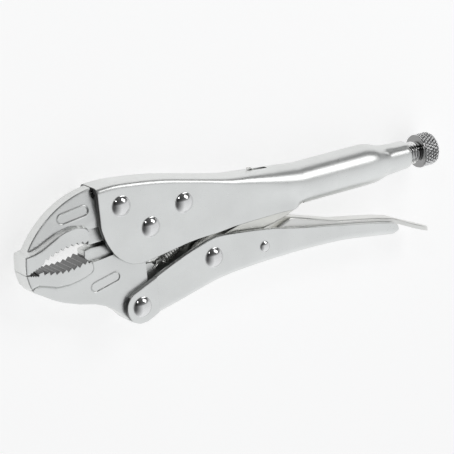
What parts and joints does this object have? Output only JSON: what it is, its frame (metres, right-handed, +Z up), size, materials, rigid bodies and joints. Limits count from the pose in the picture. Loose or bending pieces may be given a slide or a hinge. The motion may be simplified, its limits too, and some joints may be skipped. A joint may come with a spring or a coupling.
{
  "type": "locking pliers",
  "caption": "Plated steel locking pliers with curved toothed jaws, a wire cutter, folded sheet handles, a release lever and a knurled adjusting screw.",
  "frame": {"origin": "on the surface that the tool lies on, under the middle of its length and width", "axes": "+X from the jaws to the adjusting knob, +Y from the movable handle to the fixed handle, +Z up out of the side it lies on"},
  "size_m": [0.25, 0.0736, 0.0222],
  "materials": {
    "plated_sheet": "satin nickel plate over folded sheet steel",
    "forged_steel": "satin nickel plate over forged steel",
    "link_steel": "satin plated",
    "lever_steel": "satin plated sheet",
    "screw_steel": "bright plated, knurled knob",
    "spring_steel": "drawn spring wire",
    "rivet_steel": "polished domed heads"
  },
  "bodies": {
    "fixed_side": {"fixed_handle": "plated_sheet", "fixed_jaw": "forged_steel", "front_jaw_rivet": "rivet_steel", "rear_jaw_rivet": "rivet_steel", "jaw_pivot_rivet": "rivet_steel", "tension_spring": "spring_steel"},
    "jaw": {"movable_jaw": "forged_steel"},
    "lower_handle": {"movable_handle": "plated_sheet", "handle_pivot_rivet": "rivet_steel", "link_pivot_rivet": "rivet_steel", "lever_pin": "rivet_steel"},
    "link": {"toggle_link": "link_steel"},
    "lever": {"release_lever": "lever_steel"},
    "screw": {"adjusting_screw": "screw_steel"}
  },
  "joints": [
    {"name": "jaw_pivot", "type": "hinge", "parent": "fixed_side", "child": "jaw", "pos_m": [-0.0567, 0.0111, 0.0111], "axis": [0, 0, 1], "range_deg": [0, 25], "deforming": ["tension_spring"]},
    {"name": "handle_pivot", "type": "hinge", "parent": "jaw", "child": "lower_handle", "pos_m": [-0.0659, -0.0278, 0.0111], "axis": [0, 0, 1], "range_deg": [-62.5, 0]},
    {"name": "link_pivot", "type": "hinge", "parent": "lower_handle", "child": "link", "pos_m": [-0.0224, -0.0133, 0.0111], "axis": [0, 0, 1], "range_deg": [0, 62.75]},
    {"name": "lever_pivot", "type": "hinge", "parent": "lower_handle", "child": "lever", "pos_m": [0.0082, -0.0152, 0.0111], "axis": [0, 0, 1], "range_deg": [0, 3.5]},
    {"name": "screw_feed", "type": "slide", "parent": "fixed_side", "child": "screw", "axis": [1, 0, 0], "range_m": [0, 0.022]}
  ],
  "couplings": [
    {"joint": "handle_pivot", "follows": "jaw_pivot", "ratio": -2.49},
    {"joint": "link_pivot", "follows": "jaw_pivot", "ratio": 2.5}
  ]
}
